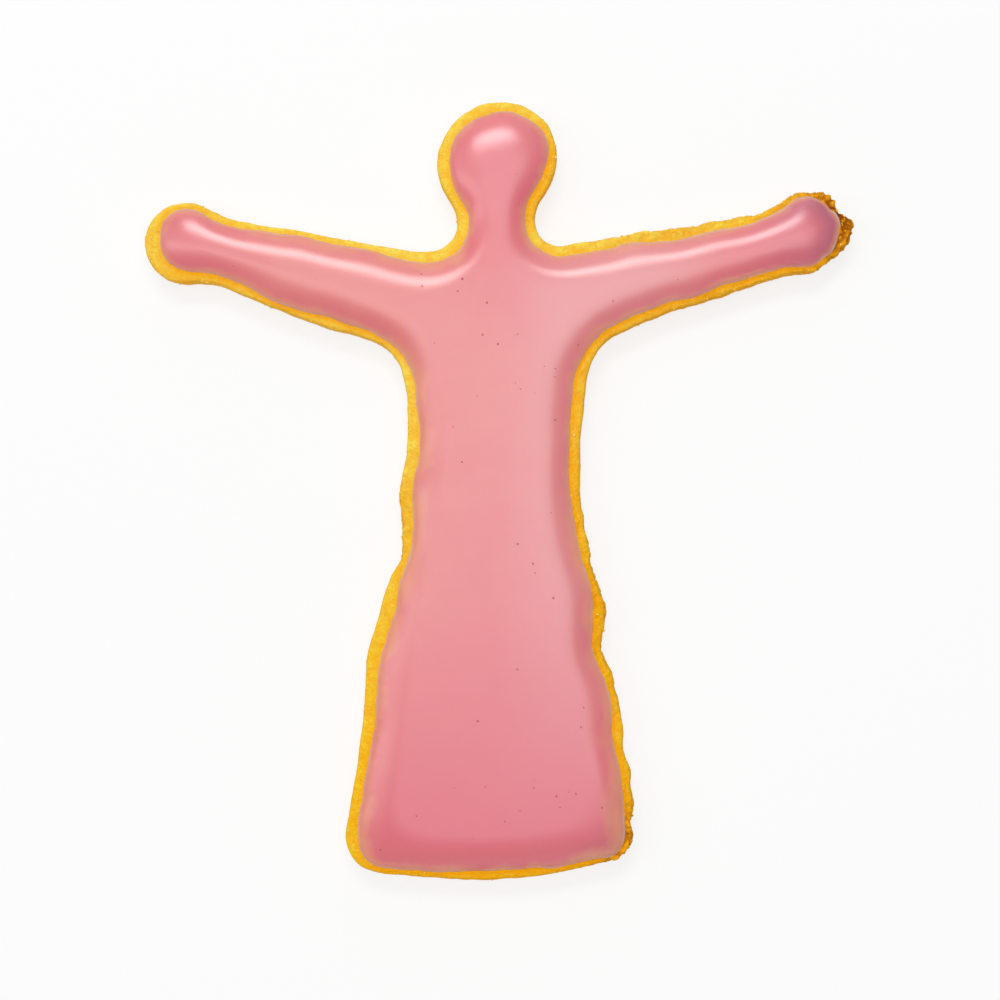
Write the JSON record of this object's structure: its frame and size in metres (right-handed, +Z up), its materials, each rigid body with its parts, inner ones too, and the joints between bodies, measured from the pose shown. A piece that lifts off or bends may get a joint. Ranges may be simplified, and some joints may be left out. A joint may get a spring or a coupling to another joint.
{
  "type": "iced sugar cookie",
  "caption": "Flat golden sugar cookie cut as a plain standing figure in a long gown with arms held out, flooded with glossy pink icing inside a bare dough rim.",
  "frame": {"origin": "centre of the bounding box at the flat underside, which rests on the surface", "axes": "+Z up through the thickness, +Y from the hem to the head, +X along the arms towards the right as seen from above"},
  "size_m": [0.114, 0.125, 0.0088],
  "materials": {
    "baked_dough": "golden baked sugar dough, matt and slightly grainy, with a crumbly edge",
    "pink_icing": "set pink flood icing, smooth with a soft satin shine and tiny pinholes"
  },
  "bodies": {
    "root": {"cookie_base": "baked_dough", "icing": "pink_icing"}
  },
  "joints": []
}
